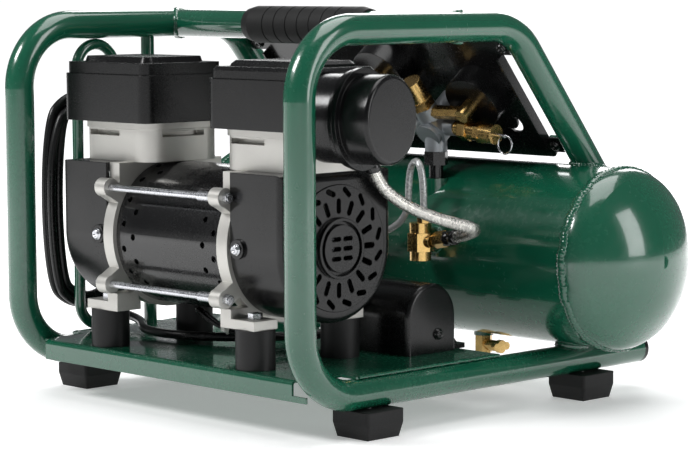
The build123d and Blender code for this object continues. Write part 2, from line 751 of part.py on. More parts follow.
def needle(spot, node):
    with BuildPart() as pointer:
        with BuildSketch(on_panel(spot, 3.2)):
            with BuildLine():
                Polyline((-1.6, 7), (1.6, 7), (0.4, -20), (-0.4, -20), close=True)
            make_face()
            Circle(3)
        extrude(amount=1.0)
        with BuildSketch(on_panel(spot, -1)):
            Circle(1.25)
        extrude(amount=4.4)
        pointer.part = pointer.part.rotate(Axis(on_panel(spot, 0).origin, PANEL.z_dir), 45)
    write(pointer, node)


needle(GAUGES[0], "needle_tank")
needle(GAUGES[1], "needle_outlet")

with BuildPart() as regulator_body:
    with BuildSketch(on_panel(REG, -1)):
        Circle(15)
    extrude(amount=-42)
    with BuildSketch(on_panel(REG, -43)):
        Circle(12)
    extrude(amount=-4)
    arm = PANEL.from_local_coords((REG[0], REG[1], DEPTH))
    with BuildSketch(Plane(origin=arm, z_dir=(1, 0, 0))):
        Circle(7.4)
    extrude(amount=25)
    with BuildSketch(Plane(origin=arm, z_dir=(-1, 0, 0))):
        Circle(8)
    extrude(amount=60)
    with BuildSketch(Plane(origin=arm, z_dir=-PANEL.y_dir)):
        Circle(10.6)
    extrude(amount=25)
    with BuildSketch(Plane(origin=arm, z_dir=(0, 0, -1))):
        Circle(10)
    extrude(amount=22)
    with BuildSketch(Plane(origin=PANEL.from_local_coords((COUPLER[0], REG[1], DEPTH)), z_dir=PANEL.z_dir)):
        Circle(7)
    extrude(amount=-DEPTH)
    with BuildSketch(on_panel(REG, -9)):
        Circle(5.1)
    extrude(amount=10, mode=Mode.SUBTRACT)
write(regulator_body, "regulator_body")
ARM = PANEL.from_local_coords((REG[0], REG[1], DEPTH))

with BuildPart() as regulator_knob:
    with BuildSketch(on_panel(REG, 4)):
        Circle(16)
    extrude(amount=20)
    chamfer(regulator_knob.edges().sort_by(Axis(on_panel(REG, 0).origin, PANEL.z_dir))[-1], 1.2)
    with BuildSketch(on_panel(REG, 4)):
        with PolarLocations(16.4, 20):
            Circle(1.2)
    extrude(amount=16, mode=Mode.SUBTRACT)
    with BuildSketch(on_panel(REG, -8)):
        Circle(5)
    extrude(amount=13)
write(regulator_knob, "regulator_knob")

with BuildPart() as quick_coupler:
    with BuildSketch(on_panel(COUPLER, 1)):
        RegularPolygon(11, 6)
    extrude(amount=5)
    with BuildSketch(on_panel(COUPLER, 0)):
        Circle(9.0)
    extrude(amount=32)
    with BuildSketch(on_panel(COUPLER, 14)):
        Circle(5.5)
    extrude(amount=30, mode=Mode.SUBTRACT)
    with BuildSketch(on_panel(COUPLER, 30)):
        Circle(10.5)
        Circle(5.5, mode=Mode.SUBTRACT)
    extrude(amount=2)
    with Locations(on_panel(COUPLER, 0).location):
        Cylinder(7, 2.1, mode=Mode.SUBTRACT)
    with BuildSketch(on_panel(COUPLER, -1)):
        Circle(20)
    extrude(amount=2, mode=Mode.SUBTRACT)
write(quick_coupler, "quick_coupler")

with BuildPart() as coupler_sleeve:
    with BuildSketch(on_panel(COUPLER, 12)):
        Circle(12.5)
        with PolarLocations(12.9, 24):
            Circle(0.8, mode=Mode.SUBTRACT)
        Circle(9.06, mode=Mode.SUBTRACT)
    extrude(amount=17.5)
write(coupler_sleeve, "coupler_sleeve")

# brass: gauge stems, plug on the up-slope port, nipple to the pressure switch
with BuildPart() as brass_fittings:
    first = PANEL.from_local_coords((GAUGES[0][0], GAUGES[0][1], GAUGE_BACK))
    with BuildSketch(Plane(origin=first, z_dir=-PANEL.z_dir)):
        Circle(6.5)
    extrude(amount=17)
    elbow = PANEL.from_local_coords((GAUGES[0][0], GAUGES[0][1], DEPTH))
    with BuildSketch(Plane(origin=elbow, z_dir=(-1, 0, 0))):
        RegularPolygon(6.1, 6)
    extrude(amount=36)
    second = PANEL.from_local_coords((GAUGES[1][0], GAUGES[1][1], GAUGE_BACK))
    with BuildSketch(Plane(origin=second, z_dir=-PANEL.z_dir)):
        Circle(6.5)
    extrude(amount=17)
    elbow = PANEL.from_local_coords((GAUGES[1][0], GAUGES[1][1], DEPTH))
    with BuildSketch(Plane(origin=elbow, z_dir=PANEL.y_dir)):
        Circle(5.2)
    extrude(amount=REG[1] - GAUGES[1][1] - 8.3)
    nipple = PANEL.from_local_coords((1.0, REG[1], DEPTH))
    with BuildSketch(Plane(origin=nipple, z_dir=(-1, 0, 0))):
        Circle(6)
    extrude(amount=26)
    with Locations(Location(ARM)):
        Cylinder(8, 122, rotation=(0, 90, 0), mode=Mode.SUBTRACT)
    with Locations(Plane(origin=ARM, z_dir=-PANEL.y_dir).location):
        Cylinder(10.6, 50, mode=Mode.SUBTRACT)
    plug = PANEL.from_local_coords((REG[0], REG[1] - 25, DEPTH))
    with BuildSketch(Plane(origin=plug, z_dir=-PANEL.y_dir)):
        RegularPolygon(11.0, 6)
    extrude(amount=8)
    with BuildSketch(Plane(origin=plug - PANEL.y_dir * 8, z_dir=-PANEL.y_dir)):
        Circle(9.3)
    extrude(amount=20)
write(brass_fittings, "brass_fittings")

VALVE_AXIS = Vector(cos(radians(5)), 0, -sin(radians(5)))
VALVE_FOOT = ARM + Vector(25, 0, 0)


def valve_plane(distance):
    return Plane(origin=VALVE_FOOT + VALVE_AXIS * distance, z_dir=VALVE_AXIS)


with BuildPart() as safety_valve:
    with BuildSketch(valve_plane(0)):
        Circle(7.0)
    extrude(amount=9)
    with BuildSketch(valve_plane(8)):
        RegularPolygon(10.2, 6)
    extrude(amount=9)
    with BuildSketch(valve_plane(17)):
        Circle(8.4)
    extrude(amount=9)
    with BuildSketch(valve_plane(26)):
        RegularPolygon(9.8, 6)
    extrude(amount=6)
    with BuildSketch(valve_plane(32)):
        Circle(8.8)
    extrude(amount=15)
    with BuildSketch(valve_plane(20)):
        Circle(1.8)
    extrude(amount=40, mode=Mode.SUBTRACT)
    with Locations(valve_plane(0).location):
        Box(60, 60, 1.6, mode=Mode.SUBTRACT)
write(safety_valve, "safety_valve")

with BuildPart() as safety_pull:
    with BuildSketch(valve_plane(24)):
        Circle(1.75)
    extrude(amount=34)
    ring_mid = VALVE_FOOT + VALVE_AXIS * 57.5 + Vector(0, 0, -7.4)
    with Locations(Plane(origin=ring_mid, z_dir=(0, 1, 0)).location):
        Torus(8, 0.8)
write(safety_pull, "safety_pull")

with BuildPart() as riser_pipe:
    with Locations((RISER[0], RISER[1], (RISER_FOOT + ARM.Z - 22) / 2)):
        Cylinder(6.5, ARM.Z - 22 - RISER_FOOT)
    with BuildSketch(Plane(origin=(RISER[0], RISER[1], ARM.Z - 34))):
        RegularPolygon(11, 6)
    extrude(amount=12)
write(riser_pipe, "riser_pipe")

with BuildPart() as pressure_switch:
    with BuildSketch(PANEL.offset(-1)):
        with Locations((ROCKER[0], 75)):
            RectangleRounded(66, 62, 5)
    extrude(amount=-46)
    with BuildSketch(PANEL.offset(-5)):
        with Locations(ROCKER):
            Rectangle(19.6, 27.6)
    extrude(amount=6)
    with BuildSketch(PANEL.offset(1)):
        with Locations(ROCKER):
            RectangleRounded(26, 34, 3)
    extrude(amount=3)
    with BuildSketch(PANEL.offset(-10)):
        with Locations(ROCKER):
            Rectangle(16, 24)
    extrude(amount=20, mode=Mode.SUBTRACT)
    with Locations(on_panel(ROCKER, 0).origin):
        Cylinder(1.5, 17, rotation=(0, 90, 0))
write(pressure_switch, "pressure_switch")

with BuildPart() as power_rocker:
    with BuildSketch(Plane(origin=on_panel(ROCKER, 0).origin - Vector(7.6, 0, 0), x_dir=PANEL.y_dir, z_dir=(1, 0, 0))):
        with BuildLine():
            Polyline((-10.5, -4), (10.5, -4), (11, 6), (0, 3.4), (-11, 3.0), close=True)
        make_face()
        Circle(1.6, mode=Mode.SUBTRACT)
    extrude(amount=15.2)
write(power_rocker, "power_rocker")

# ---- check valve, hose and unloader tube --------------------------------------------
CHECK_V = Vector(*CHECK)
with BuildPart() as check_valve:
    with BuildSketch(Plane(CHECK_V - Vector(0, 0, 17))):
        Circle(9.4)
    extrude(amount=8)
    with BuildSketch(Plane(CHECK_V - Vector(0, 0, 9))):
        RegularPolygon(11.6, 6)
    extrude(amount=16)
    with BuildSketch(Plane(CHECK_V + Vector(0, 0, 7))):
        Circle(9.8)
    extrude(amount=9)
    with BuildSketch(Plane(origin=CHECK_V, z_dir=(0, 1, 0))):
        Circle(5.9)
    extrude(amount=24)
    with BuildSketch(Plane(origin=CHECK_V, z_dir=(1, 0, 0))):
        Circle(5.5)
    extrude(amount=14)
    with BuildSketch(Plane(CHECK_V + Vector(4, 0, 16))):
        RegularPolygon(6, 6)
    extrude(amount=9)
write(check_valve, "check_valve")

HOSE_END = CHECK_V + Vector(30, 2, 4)
HOSE_POINTS = [
    (151, -100, 222),
    (151, -93, 201),
    (152, -64, 181),
    (159, -26, 166),
    (168, 27, 153),
    (HOSE_END.X, HOSE_END.Y, HOSE_END.Z),
]
air_hose = pipe(HOSE_POINTS, HOSE_R)
write(air_hose, "air_hose")

with BuildPart() as hose_nuts:
    end_dir = (Vector(*HOSE_POINTS[-2]) - HOSE_END).normalized()
    with BuildSketch(Plane(origin=HOSE_END, z_dir=-end_dir)):
        RegularPolygon(7.4, 6)
    extrude(amount=14)
    start = Vector(*HOSE_POINTS[0])
    start_dir = (Vector(*HOSE_POINTS[1]) - start).normalized()
    with BuildSketch(Plane(origin=start, z_dir=-start_dir)):
        RegularPolygon(7.4, 6)
    extrude(amount=11)
    with Locations((150, -100, 230.5)):
        Box(18, 14, 10)
write(hose_nuts, "hose_nuts")

UNLOADER_POINTS = [
    (CHECK[0] + 4, CHECK[1], CHECK[2] + 25),
    (CHECK[0] + 4, CHECK[1], 208),
    (CHECK[0] - 20, CHECK[1] + 6, 208),
    (CHECK[0] - 20, CHECK[1] + 5, 142),
    (-38, 10, 138),
    (-60, 24, 176),
    (-60, 50, 212),
    (-60, 64.5, 223.6),
]
unloader_tube = pipe(UNLOADER_POINTS, 3.1)
write(unloader_tube, "unloader_tube")

# ---- drain --------------------------------------------------------------------------
DRAIN_TOP = TANK_Z - TANK_R - 3
DRAIN_Z = DRAIN_TOP - 9
with BuildPart() as drain_valve:
    with BuildSketch(Plane((DRAIN_X, TANK_Y, DRAIN_TOP))):
        Circle(4.4)
    extrude(amount=7)
    with BuildSketch(Plane((DRAIN_X, TANK_Y, DRAIN_TOP))):
        RegularPolygon(8, 6)
    extrude(amount=-16)
    with BuildSketch(Plane(origin=(DRAIN_X, TANK_Y, DRAIN_Z), z_dir=(1, 0, 0))):
        Circle(5)
    extrude(amount=18)
    with BuildSketch(Plane(origin=(DRAIN_X + 11, TANK_Y, DRAIN_Z), z_dir=(1, 0, 0))):
        Circle(2.6)
    extrude(amount=18, mode=Mode.SUBTRACT)
write(drain_valve, "drain_valve")

with BuildPart() as drain_knob:
    with BuildSketch(Plane(origin=(DRAIN_X + 12, TANK_Y, DRAIN_Z), z_dir=(1, 0, 0))):
        Circle(2.55)
    extrude(amount=8)
    with BuildSketch(Plane(origin=(DRAIN_X + 18.3, TANK_Y, DRAIN_Z), x_dir=(0, 1, 0), z_dir=(1, 0, 0))):
        Circle(6)
        with Locations((7, 0), (-7, 0)):
            Circle(3.5)
        Rectangle(14, 5)
    extrude(amount=4)
write(drain_knob, "drain_knob")

# ---- electrics ----------------------------------------------------------------------
BOX_X0, BOX_X1, BOX_Y, BOX_HALF, BOX_TOP = 72.0, 140.0, -15.5, 29.5, 110.0


def arch(plane, half, top):
    straight = top - half
    with BuildSketch(plane) as section:
        with BuildLine():
            Polyline((-half, straight), (-half, 0), (half, 0), (half, straight))
            ThreePointArc((half, straight), (0, top), (-half, straight))
        make_face()
    return section.sketch


with BuildPart() as terminal_cover:
    face = Plane(origin=(BOX_X1, BOX_Y, PLATE_TOP), x_dir=(0, 1, 0), z_dir=(1, 0, 0))
    extrude(arch(face, BOX_HALF, BOX_TOP - PLATE_TOP), amount=-(BOX_X1 - BOX_X0))
    fillet(terminal_cover.faces().sort_by(Axis.X)[-1].edges().filter_by(GeomType.CIRCLE), 4)
    hollow = arch(face.offset(-3), BOX_HALF - 3, BOX_TOP - PLATE_TOP - 3)
    extrude(hollow, amount=-(BOX_X1 - BOX_X0 - 6), mode=Mode.SUBTRACT)
    with BuildSketch(Plane((BOX_X1 - 16, BOX_Y + BOX_HALF + 7, PLATE_TOP))):
        RectangleRounded(24, 20, 3)
    extrude(amount=4)
    with BuildSketch(Plane((BOX_X0 + 12, BOX_Y + BOX_HALF + 7, PLATE_TOP))):
        RectangleRounded(20, 20, 3)
    extrude(amount=4)
    with Locations((BOX_X1 - 16, BOX_Y + BOX_HALF + 10, PLATE_TOP), (BOX_X0 + 12, BOX_Y + BOX_HALF + 10, PLATE_TOP)):
        Cylinder(2.6, 20, mode=Mode.SUBTRACT)
    with Locations((BOX_X1, BOX_Y + 7, PLATE_TOP + 16)):
        Cylinder(2.1, 12, rotation=(0, 90, 0), mode=Mode.SUBTRACT)
    for y in (-28.0, -44.0):
        with Locations((BOX_X0, y + 6, PLATE_TOP + 14)):
            Cylinder(CORD_R + 0.5, 20, rotation=(0, 90, 0), mode=Mode.SUBTRACT)
write(terminal_cover, "terminal_cover")
SCREWS += [
    (Vector(BOX_X1, BOX_Y + 7, PLATE_TOP + 16), Vector(1, 0, 0)),
    (Vector(BOX_X1 - 16, BOX_Y + BOX_HALF + 10, PLATE_TOP + 4), Vector(0, 0, 1)),
    (Vector(BOX_X0 + 12, BOX_Y + BOX_HALF + 10, PLATE_TOP + 4), Vector(0, 0, 1)),
]

with BuildPart() as capacitor:
    with Locations((104, BOX_Y, 84)):
        Cylinder(19, 54, rotation=(0, 90, 0))
write(capacitor, "capacitor")

with BuildPart() as pan_head_screws:
    for spot, out in SCREWS:
        with BuildSketch(Plane(origin=spot, z_dir=out)):
            Circle(5.0)
        extrude(amount=1.0)
        with BuildSketch(Plane(origin=spot + out * 1.0, z_dir=out)):
            Circle(4.2)
        extrude(amount=2.6)
        with BuildSketch(Plane(origin=spot, z_dir=-out)):
            Circle(2.0)
        extrude(amount=6)
write(pan_head_screws, "pan_head_screws")

HARNESS_POINTS = [
    (-34, AXIS_Y, AXIS_Z - SHELL_R - 4.6),
    (-2, AXIS_Y - 4, 70),
    (24, -96, 60),
    (52, -48, 60),
    (BOX_X0 + 2, -38, PLATE_TOP + 14),
]
wire_harness = pipe(HARNESS_POINTS, CORD_R)
write(wire_harness, "wire_harness")

# ---- power cord ---------------------------------------------------------------------
COIL_X, COIL_Y, COIL_Z = -197.5, -121.0, 168.0
COIL_HALF_Y, COIL_HALF_Z = 38.0, 92.0
CORD_POINTS = [
    (COIL_X, COIL_Y + 4, COIL_Z - COIL_HALF_Z - 5),
    (COIL_X + 4, COIL_Y + 34, COIL_Z - COIL_HALF_Z - 14),
    (-152, -92, 58),
    (-110, -127, 56),
    (-50, -120, 56),
    (10, -76, 57),
    (44, -26, 60),
    (BOX_X0 + 2, -22, PLATE_TOP + 14),
]
power_cord_lead = pipe(CORD_POINTS, CORD_R)
write(power_cord_lead, "power_cord_lead")

with BuildPart() as power_cord_coil:
    with BuildSketch(Plane(origin=(COIL_X - 9, COIL_Y, COIL_Z), x_dir=(0, 1, 0), z_dir=(1, 0, 0))):
        SlotOverall(2 * COIL_HALF_Z + 16, 2 * COIL_HALF_Y + 16, rotation=90)
        SlotOverall(2 * COIL_HALF_Z - 16, 2 * COIL_HALF_Y - 16, rotation=90, mode=Mode.SUBTRACT)
    extrude(amount=18)
    fillet(power_cord_coil.edges(), 4)
write(power_cord_coil, "power_cord_coil")

TAIL_POINTS = [
    (COIL_X, COIL_Y + COIL_HALF_Y + 4, COIL_Z + 26),
    (COIL_X, COIL_Y + COIL_HALF_Y + 23, COIL_Z + 4),
    (COIL_X, COIL_Y + COIL_HALF_Y + 25, COIL_Z - 26),
]
power_cord_tail = pipe(TAIL_POINTS, CORD_R)
write(power_cord_tail, "power_cord_tail")

with BuildPart() as power_plug:
    tip = Vector(*TAIL_POINTS[-1])
    with BuildSketch(Plane(origin=tip, z_dir=(0, 0, -1))):
        Circle(6)
    extrude(amount=12)
    with BuildSketch(Plane(origin=tip - Vector(0, 0, 12), z_dir=(0, 0, -1))):
        RectangleRounded(20, 26, 6)
    extrude(amount=24)
    with BuildSketch(Plane(origin=tip - Vector(0, 0, 36), z_dir=(0, 0, -1))):
        with Locations((0, 6.35), (0, -6.35)):
            Rectangle(6.4, 1.5)
    extrude(amount=17)
    with Locations(tip - Vector(6, 0, 36 + 9)):
        Cylinder(2.4, 18)
write(power_plug, "power_plug")
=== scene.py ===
"""The looks of the twin-cylinder roll-cage compressor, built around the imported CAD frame."""

import json
import math
import random

import bmesh
import bpy
from mathutils import Matrix, Vector, noise


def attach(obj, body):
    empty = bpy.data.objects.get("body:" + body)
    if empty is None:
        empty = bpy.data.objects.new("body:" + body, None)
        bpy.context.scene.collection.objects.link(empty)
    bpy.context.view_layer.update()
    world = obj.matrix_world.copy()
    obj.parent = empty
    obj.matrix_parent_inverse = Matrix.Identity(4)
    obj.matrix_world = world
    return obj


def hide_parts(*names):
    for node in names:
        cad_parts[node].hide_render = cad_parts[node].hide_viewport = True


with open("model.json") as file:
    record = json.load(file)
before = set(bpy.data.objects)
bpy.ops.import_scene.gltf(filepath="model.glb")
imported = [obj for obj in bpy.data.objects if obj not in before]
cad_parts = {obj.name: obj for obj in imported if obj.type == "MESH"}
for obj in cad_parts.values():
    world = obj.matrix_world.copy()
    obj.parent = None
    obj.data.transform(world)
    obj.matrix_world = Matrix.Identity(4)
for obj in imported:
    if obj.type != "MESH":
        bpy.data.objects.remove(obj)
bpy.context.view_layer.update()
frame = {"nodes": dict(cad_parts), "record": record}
NODES = frame["nodes"]
MM = 0.001
BODY = "frame"
random.seed(7)


# ---- camera, floor and light --------------------------------------------------------
def make_camera():
    azimuth, elevation, roll = math.radians(45.75), math.radians(5.66), math.radians(-0.19)
    look = Vector((
        -math.sin(azimuth) * math.cos(elevation),
        math.cos(azimuth) * math.cos(elevation),
        -math.sin(elevation),
    ))
    data = bpy.data.cameras.new("camera")
    data.sensor_width = 36
    data.lens = 126
    data.clip_start, data.clip_end = 0.05, 50
    camera = bpy.data.objects.new("camera", data)
    bpy.context.scene.collection.objects.link(camera)
    camera.rotation_mode = "QUATERNION"
    camera.rotation_quaternion = look.to_track_quat("-Z", "Y") @ Matrix.Rotation(roll, 3, "Z").to_quaternion()
    camera.location = (1.5646, -1.5009, 0.3639)
    bpy.context.scene.camera = camera


def area_light(name, place, target, size, power, tint=(1, 1, 1)):
    data = bpy.data.lights.new(name, "AREA")
    data.shape = "RECTANGLE"
    data.size, data.size_y = size
    data.energy = power
    data.color = tint
    light = bpy.data.objects.new(name, data)
    bpy.context.scene.collection.objects.link(light)
    light.location = place
    light.rotation_mode = "QUATERNION"
    light.rotation_quaternion = (Vector(target) - Vector(place)).to_track_quat("-Z", "Y")


def make_studio():
    world = bpy.data.worlds.new("studio")
    bpy.context.scene.world = world
    world.use_nodes = True
    nodes, links = world.node_tree.nodes, world.node_tree.links
    nodes.clear()
    out = nodes.new("ShaderNodeOutputWorld")
    seen, lit, mix, path = (
        nodes.new("ShaderNodeBackground"),
        nodes.new("ShaderNodeBackground"),
        nodes.new("ShaderNodeMixShader"),
        nodes.new("ShaderNodeLightPath"),
    )
    seen.inputs["Color"].default_value = (1, 1, 1, 1)
    seen.inputs["Strength"].default_value = 1.05
    lit.inputs["Color"].default_value = (0.93, 0.96, 1, 1)
    lit.inputs["Strength"].default_value = 0.13
    links.new(path.outputs["Is Camera Ray"], mix.inputs[0])
    links.new(lit.outputs[0], mix.inputs[1])
    links.new(seen.outputs[0], mix.inputs[2])
    links.new(mix.outputs[0], out.inputs["Surface"])

    # white paper that glows more with distance, so that it meets the backdrop without an edge
    half = 6.0
    mesh = bpy.data.meshes.new("studio_floor")
    corners = [(-half, -half, 0), (half, -half, 0), (half, half, 0), (-half, half, 0)]
    mesh.from_pydata(corners, [], [(0, 1, 2, 3)])
    floor = bpy.data.objects.new("studio_floor", mesh)
    bpy.context.scene.collection.objects.link(floor)
    paper = bpy.data.materials.new("floor_paper")
    paper.use_nodes = True
    shader = paper.node_tree.nodes["Principled BSDF"]
    shader.inputs["Base Color"].default_value = (0.93, 0.93, 0.93, 1)
    shader.inputs["Roughness"].default_value = 0.75
    shader.inputs["Emission Color"].default_value = (1, 1, 1, 1)
    paper_nodes, paper_links = paper.node_tree.nodes, paper.node_tree.links
    spot = paper_nodes.new("ShaderNodeTexCoord")
    reach = paper_nodes.new("ShaderNodeVectorMath")
    reach.operation = "LENGTH"
    glow = paper_nodes.new("ShaderNodeMapRange")
    glow.inputs["From Min"].default_value, glow.inputs["From Max"].default_value = 0.4, 1.6
    glow.inputs["To Min"].default_value, glow.inputs["To Max"].default_value = 0.3, 1.05
    paper_links.new(spot.outputs["Object"], reach.inputs[0])
    paper_links.new(reach.outputs["Value"], glow.inputs["Value"])
    paper_links.new(glow.outputs["Result"], shader.inputs["Emission Strength"])
    mesh.materials.append(paper)

    # four softboxes aimed at the middle of the machine
    middle = (0, 0, 0.17)
    area_light("key_softbox", (-0.9, -1.9, 1.9), middle, (0.8, 0.8), 48)
    area_light("top_softbox", (0.2, 0.3, 2.2), middle, (2.0, 1.4), 30)
    area_light("side_softbox", (2.1, 0.6, 0.9), middle, (0.7, 1.5), 16)
    area_light("back_softbox", (-1.4, 1.8, 1.3), middle, (1.4, 1.2), 22)
    bpy.context.scene.view_settings.view_transform = "Standard"
    bpy.context.scene.view_settings.look = "None"


# ---- materials ----------------------------------------------------------------------
def surface(name, color, rough, metal=0.0, coat=0.0, grain=400.0, bump=0.1, depth=0.2, drift=0.12,
            patch=14.0, rough_drift=0.08, edge=0.0006, stretch=(1, 1, 1), coat_rough=0.08):
    """A painted, moulded or metal surface: slow colour drift, fine grain in bump and roughness."""
    made = bpy.data.materials.new(name)
    made.use_nodes = True
    nodes, links = made.node_tree.nodes, made.node_tree.links
    shader = nodes["Principled BSDF"]
    shader.inputs["Metallic"].default_value = metal
    shader.inputs["Coat Weight"].default_value = coat
    shader.inputs["Coat Roughness"].default_value = coat_rough
    shader.inputs["Specular IOR Level"].default_value = 0.36 if max(color) < 0.02 else 0.5
    place = nodes.new("ShaderNodeTexCoord")
    spread = nodes.new("ShaderNodeMapping")
    spread.inputs["Scale"].default_value = stretch
    links.new(place.outputs["Object"], spread.inputs["Vector"])

    slow = nodes.new("ShaderNodeTexNoise")
    slow.inputs["Scale"].default_value = patch
    slow.inputs["Detail"].default_value = 5
    fine = nodes.new("ShaderNodeTexNoise")
    fine.inputs["Scale"].default_value = grain
    fine.inputs["Detail"].default_value = 3
    for texture in (slow, fine):
        links.new(spread.outputs["Vector"], texture.inputs["Vector"])

    tones = nodes.new("ShaderNodeValToRGB")
    dark = [c * (1 - drift) for c in color]
    light = [min(1.0, c * (1 + drift)) for c in color]
    tones.color_ramp.elements[0].position, tones.color_ramp.elements[1].position = 0.35, 0.65
    tones.color_ramp.elements[0].color = (*dark, 1)
    tones.color_ramp.elements[1].color = (*light, 1)
    links.new(slow.outputs["Fac"], tones.inputs["Fac"])
    links.new(tones.outputs["Color"], shader.inputs["Base Color"])

    both = nodes.new("ShaderNodeMath")
    both.operation = "MULTIPLY"
    links.new(slow.outputs["Fac"], both.inputs[0])
    links.new(fine.outputs["Fac"], both.inputs[1])
    ranged = nodes.new("ShaderNodeMapRange")
    ranged.inputs["From Min"].default_value, ranged.inputs["From Max"].default_value = 0.1, 0.4
    ranged.inputs["To Min"].default_value = max(0.02, rough - rough_drift)
    ranged.inputs["To Max"].default_value = min(1.0, rough + rough_drift)
    links.new(both.outputs[0], ranged.inputs["Value"])
    links.new(ranged.outputs["Result"], shader.inputs["Roughness"])

    relief = nodes.new("ShaderNodeBump")
    relief.inputs["Strength"].default_value = bump
    relief.inputs["Distance"].default_value = depth * MM
    links.new(fine.outputs["Fac"], relief.inputs["Height"])
    if edge:
        soft = nodes.new("ShaderNodeBevel")
        soft.samples = 4
        soft.inputs["Radius"].default_value = edge
        links.new(soft.outputs["Normal"], relief.inputs["Normal"])
    links.new(relief.outputs["Normal"], shader.inputs["Normal"])
    return made


def lens_glass():
    made = bpy.data.materials.new("lens_glass")
    made.use_nodes = True
    shader = made.node_tree.nodes["Principled BSDF"]
    shader.inputs["Base Color"].default_value = (0.95, 0.97, 1, 1)
    shader.inputs["Roughness"].default_value = 0.03
    shader.inputs["Transmission Weight"].default_value = 1
    shader.inputs["IOR"].default_value = 1.45
    return made


GREEN = (0.0035, 0.083, 0.043)
LOOKS = {
    "green_paint": surface("green_enamel", GREEN, 0.24, coat=0.9, grain=220, bump=0.05, depth=0.1, drift=0.05,
                           edge=0.0008, coat_rough=0.07),
    "black_paint": surface("black_enamel", (0.0045, 0.0045, 0.0048), 0.26, coat=0.4, grain=500, bump=0.12, depth=0.1),
    "black_plastic": surface("black_moulding", (0.0045, 0.0045, 0.0048), 0.24, grain=1100, bump=0.16, depth=0.12,
                             edge=0.0009),
    "grip_rubber": surface("grip_rubber", (0.006, 0.006, 0.006), 0.62, grain=1500, bump=0.3, depth=0.15),
    "foot_rubber": surface("foot_rubber", (0.0065, 0.0065, 0.0068), 0.6, grain=900, bump=0.3, depth=0.2, edge=0.0012),
    "isolator_rubber": surface("isolator_rubber", (0.006, 0.006, 0.0063), 0.5, grain=700, bump=0.2, depth=0.15,
                               edge=0.001),
    "zinc_steel": surface("zinc_plate", (0.62, 0.63, 0.66), 0.28, metal=1, grain=600, bump=0.1, depth=0.08),
    "cast_aluminium": surface("cast_aluminium", (0.56, 0.55, 0.52), 0.45, metal=0.75, grain=900, bump=0.35,
                              depth=0.2, drift=0.06, edge=0.001),
    "laminations": surface("laminations", (0.2, 0.2, 0.21), 0.5, metal=0.8, grain=500, bump=0.5, depth=0.3,
                           stretch=(6, 0.2, 0.2)),
    "steel": surface("ground_steel", (0.5, 0.51, 0.53), 0.25, metal=1, grain=700, bump=0.1, depth=0.05,
                     stretch=(5, 0.4, 0.4)),
    "chrome": surface("nickel_plate", (0.78, 0.79, 0.8), 0.14, metal=1, grain=900, bump=0.05, depth=0.05),
    "brass": surface("machined_brass", (0.63, 0.42, 0.16), 0.24, metal=1, grain=800, bump=0.12, depth=0.08,
                     drift=0.14, patch=60, edge=0.0004),
    "die_cast": surface("grey_die_cast", (0.3, 0.32, 0.34), 0.42, metal=0.8, grain=600, bump=0.35, depth=0.2,
                        edge=0.001),
    "lens": lens_glass(),
    "dial_red": surface("needle_red", (0.5, 0.02, 0.012), 0.4, grain=900, bump=0.02, depth=0.02, edge=0),
    "hose_braid": surface("braid_wire", (0.74, 0.72, 0.68), 0.24, metal=1.0, grain=1500, bump=0.2, depth=0.05,
                          drift=0.2, patch=300, edge=0),
    "tube_plastic": surface("signal_tube", (0.42, 0.43, 0.43), 0.25, metal=0.4, coat=0.4, grain=300, bump=0.05,
                            depth=0.05),
    "cord_pvc": surface("cord_jacket", (0.006, 0.006, 0.0063), 0.3, grain=500, bump=0.1, depth=0.06, edge=0),
    "foam": surface("filter_foam", (0.06, 0.06, 0.065), 0.9, grain=1500, bump=0.8, depth=0.5, edge=0),
    "fan_plastic": surface("fan_plastic", (0.02, 0.02, 0.022), 0.5, grain=900, bump=0.2, depth=0.1),
    "rocker_plastic": surface("rocker_plastic", (0.32, 0.01, 0.008), 0.3, grain=900, bump=0.1, depth=0.05),
}
BRAID_CORE = surface("braid_core", (0.05, 0.05, 0.05), 0.6, grain=900, bump=0.2, depth=0.05, edge=0)
TIE_WHITE = surface("tie_nylon", (0.62, 0.62, 0.58), 0.45, grain=900, bump=0.1, depth=0.05)
DIAL_WHITE = surface("dial_card", (0.8, 0.8, 0.78), 0.6, grain=900, bump=0.03, depth=0.02, edge=0)
DIAL_BLACK = surface("dial_ink", (0.012, 0.012, 0.012), 0.5, grain=900, bump=0.03, depth=0.02, edge=0)


def dress_nodes():
    for part in frame["record"]["subparts"]:
        mesh = NODES[part["node"]].data
        mesh.materials.clear()
        mesh.materials.append(LOOKS[part["material_slot"]])


# ---- mesh and curve helpers ---------------------------------------------------------
def add_piece(name, mesh, look, body=BODY, smooth=True):
    mesh.materials.append(look)
    for face in mesh.polygons:
        face.use_smooth = smooth
    piece = bpy.data.objects.new(name, mesh)
    bpy.context.scene.collection.objects.link(piece)
    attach(piece, body)
    return piece


def from_lists(name, verts, faces):
    mesh = bpy.data.meshes.new(name)
    mesh.from_pydata([tuple(v) for v in verts], [], faces)
    mesh.update()
    return mesh


def curve_line(points, cyclic=False, detail=10):
    """Evenly evaluated points of a NURBS line through the route's control points."""
    data = bpy.data.curves.new("route", "CURVE")
    data.dimensions = "3D"
    spline = data.splines.new("NURBS")
    spline.points.add(len(points) - 1)
    for point, place in zip(spline.points, points):
        point.co = (*place, 1)
    spline.use_cyclic_u = cyclic
    spline.order_u = 3
    spline.use_endpoint_u = not cyclic
    spline.resolution_u = detail
    holder = bpy.data.objects.new("route", data)
    mesh = bpy.data.meshes.new_from_object(holder)
    line = [v.co.copy() for v in mesh.vertices]
    bpy.data.objects.remove(holder)
    bpy.data.curves.remove(data)
    bpy.data.meshes.remove(mesh)
    return line


